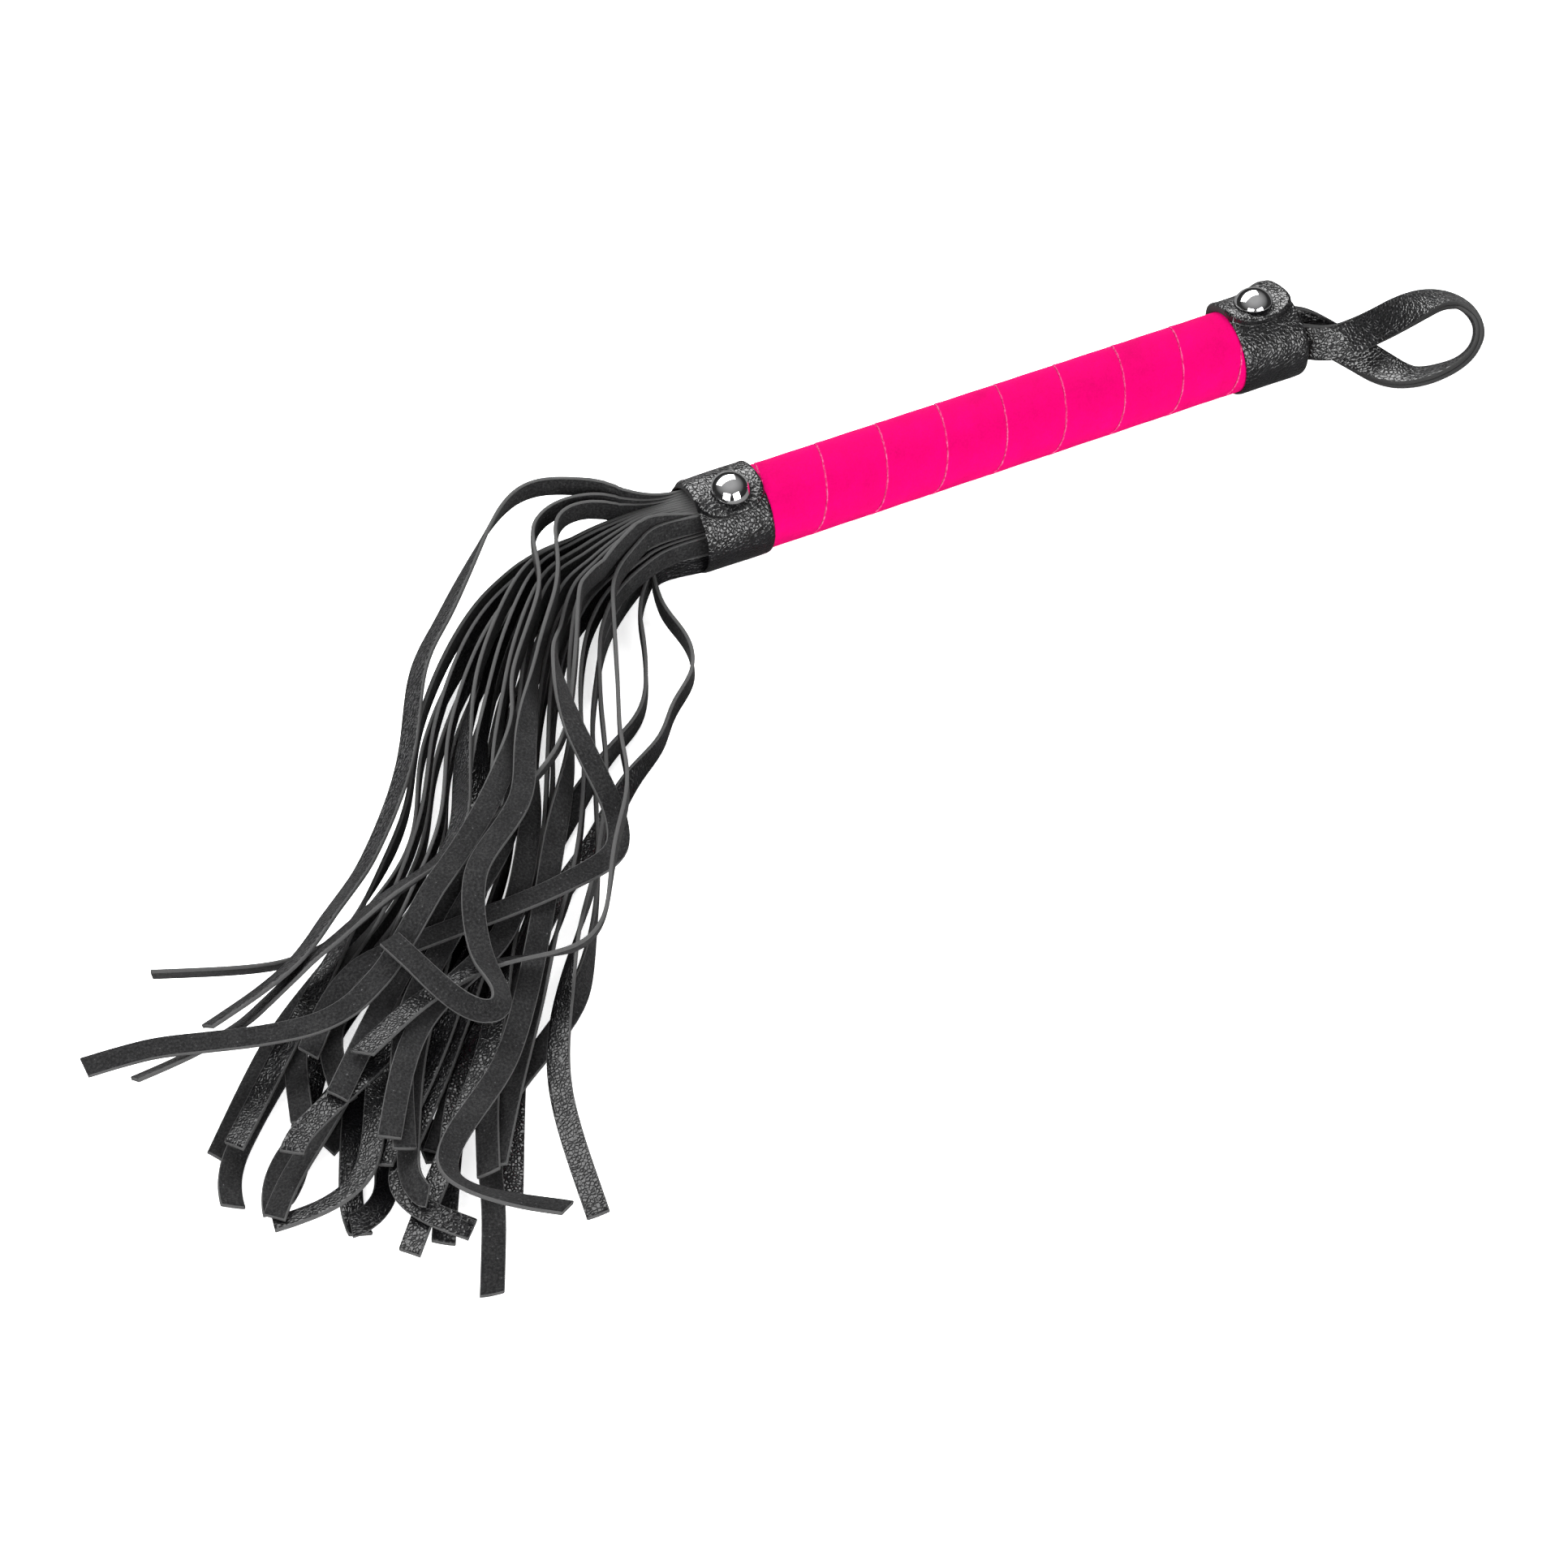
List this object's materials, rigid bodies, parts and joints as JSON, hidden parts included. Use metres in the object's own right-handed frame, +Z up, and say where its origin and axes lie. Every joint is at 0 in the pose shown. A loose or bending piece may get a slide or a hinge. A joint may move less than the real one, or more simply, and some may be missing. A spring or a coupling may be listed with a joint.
{
  "type": "multi-tail whip",
  "caption": "Short multi-tail whip: wrapped dowel grip, riveted leather collar at each end, doubled wrist strap, bundle of flat leather tails.",
  "frame": {"origin": "middle of the grip, on the axis of the handle", "axes": "+X along the handle towards the wrist strap, +Z up from the table it lies on, +Y away from the near side, to which the tails curl"},
  "size_m": [0.433, 0.2168, 0.0349],
  "materials": {
    "tail_leather": "pebbled black faux leather, matt charcoal suede on the back",
    "collar_leather": "pebbled black faux leather",
    "strap_leather": "pebbled black faux leather on both sides",
    "rivet_chrome": "polished",
    "rivet_steel": "plain",
    "grip_fabric": "hot pink brushed suede cloth",
    "dowel_wood": "plain"
  },
  "bodies": {
    "handle": {"handle_core": "dowel_wood", "grip_wrap": "grip_fabric", "tail_collar": "collar_leather", "loop_collar": "collar_leather", "tail_rivet_cap": "rivet_chrome", "tail_rivet_post": "rivet_steel", "loop_rivet_cap": "rivet_chrome", "loop_rivet_post": "rivet_steel"},
    "wrist_loop": {"wrist_strap_outer_ply": "strap_leather", "wrist_strap_inner_ply": "strap_leather"},
    "tail_root": {"tail_root": "tail_leather"},
    "lower_tails": {"lower_tail_01": "tail_leather", "lower_tail_02": "tail_leather", "lower_tail_03": "tail_leather", "lower_tail_04": "tail_leather", "lower_tail_05": "tail_leather", "lower_tail_06": "tail_leather", "lower_tail_07": "tail_leather", "lower_tail_08": "tail_leather", "lower_tail_09": "tail_leather", "lower_tail_10": "tail_leather", "lower_tail_11": "tail_leather", "lower_tail_12": "tail_leather"},
    "middle_tails": {"middle_tail_01": "tail_leather", "middle_tail_02": "tail_leather", "middle_tail_03": "tail_leather", "middle_tail_04": "tail_leather", "middle_tail_05": "tail_leather", "middle_tail_06": "tail_leather", "middle_tail_07": "tail_leather", "middle_tail_08": "tail_leather", "middle_tail_09": "tail_leather", "middle_tail_10": "tail_leather", "middle_tail_11": "tail_leather", "middle_tail_12": "tail_leather"},
    "upper_tails": {"upper_tail_01": "tail_leather", "upper_tail_02": "tail_leather", "upper_tail_03": "tail_leather", "upper_tail_04": "tail_leather", "upper_tail_05": "tail_leather", "upper_tail_06": "tail_leather", "upper_tail_07": "tail_leather", "upper_tail_08": "tail_leather", "upper_tail_09": "tail_leather", "upper_tail_10": "tail_leather", "upper_tail_11": "tail_leather", "upper_tail_12": "tail_leather"}
  },
  "joints": [
    {"name": "wrist_loop_swing", "type": "hinge", "parent": "handle", "child": "wrist_loop", "pos_m": [0.088, 0, 0], "axis": [0, 0, 1], "range_deg": [-18, 30]},
    {"name": "tails_lift", "type": "hinge", "parent": "handle", "child": "tail_root", "pos_m": [-0.09, 0, 0], "axis": [0, 1, 0], "range_deg": [0, 45]},
    {"name": "lower_tails_swing", "type": "hinge", "parent": "tail_root", "child": "lower_tails", "pos_m": [-0.09, 0, 0], "axis": [0, 0, 1], "range_deg": [-35, 20]},
    {"name": "middle_tails_swing", "type": "hinge", "parent": "tail_root", "child": "middle_tails", "pos_m": [-0.09, 0, 0], "axis": [0, 0, 1], "range_deg": [-35, 20]},
    {"name": "upper_tails_swing", "type": "hinge", "parent": "tail_root", "child": "upper_tails", "pos_m": [-0.09, 0, 0], "axis": [0, 0, 1], "range_deg": [-35, 20]}
  ]
}
